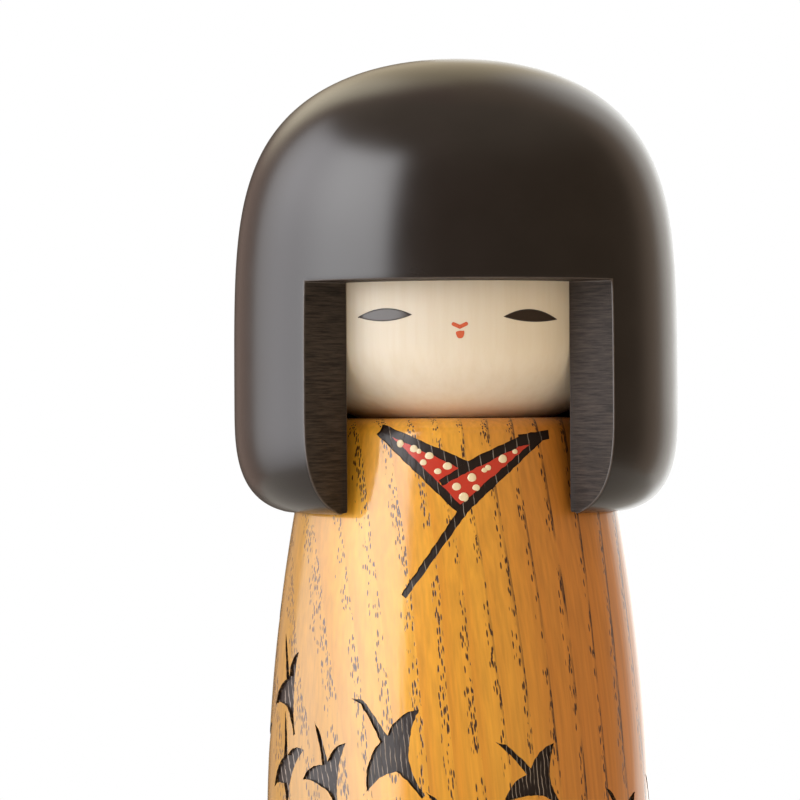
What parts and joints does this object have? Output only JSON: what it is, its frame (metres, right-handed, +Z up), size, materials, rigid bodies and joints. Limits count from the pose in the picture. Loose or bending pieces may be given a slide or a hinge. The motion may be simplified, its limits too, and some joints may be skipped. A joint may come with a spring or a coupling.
{
  "type": "kokeshi doll",
  "caption": "Turned wooden doll: barrel body carved with a crossed collar and flying cranes, round face in a bobbed black hair cap, head turns on a neck dowel.",
  "frame": {"origin": "centre of the foot, on the surface that the doll stands on", "axes": "+Z up along the turning axis, -Y the way the face looks, +X to the right of someone facing the doll"},
  "size_m": [0.1, 0.0997, 0.245],
  "materials": {
    "chestnut": "turned ring-porous wood, amber stain, clear gloss lacquer",
    "dogwood": "turned fine-grained pale wood, thin satin wax",
    "black_wood": "turned wood, black-brown satin lacquer, bare stained saw cuts",
    "beech": "plain unfinished dowel",
    "ink": "satin brushed ink",
    "lip_red": "satin brushed paint",
    "black_lacquer": "black stain under gloss lacquer in a chiselled recess",
    "red_enamel": "gloss enamel",
    "cream_enamel": "raised gloss enamel drops"
  },
  "bodies": {
    "torso": {"body": "chestnut", "collar_lines": "black_lacquer", "collar_red_left": "red_enamel", "collar_red_right": "red_enamel", "collar_dots": "cream_enamel", "crane_01": "black_lacquer", "crane_02": "black_lacquer", "crane_03": "black_lacquer", "crane_04": "black_lacquer", "crane_05": "black_lacquer", "crane_06": "black_lacquer", "crane_07": "black_lacquer", "crane_08": "black_lacquer", "crane_09": "black_lacquer", "crane_10": "black_lacquer", "crane_11": "black_lacquer", "crane_12": "black_lacquer", "crane_13": "black_lacquer", "crane_14": "black_lacquer", "crane_15": "black_lacquer", "crane_16": "black_lacquer", "crane_17": "black_lacquer", "crane_18": "black_lacquer", "crane_19": "black_lacquer", "crane_20": "black_lacquer"},
    "head_group": {"head": "dogwood", "hair_cap": "black_wood", "neck_dowel": "beech", "crown_dowel": "beech", "eye_left": "ink", "eye_right": "ink", "lip_upper": "lip_red", "lip_lower": "lip_red"}
  },
  "joints": [
    {"name": "head_turn", "type": "hinge", "parent": "torso", "child": "head_group", "pos_m": [0, 0, 0.1646], "axis": [0, 0, 1], "continuous": true}
  ]
}
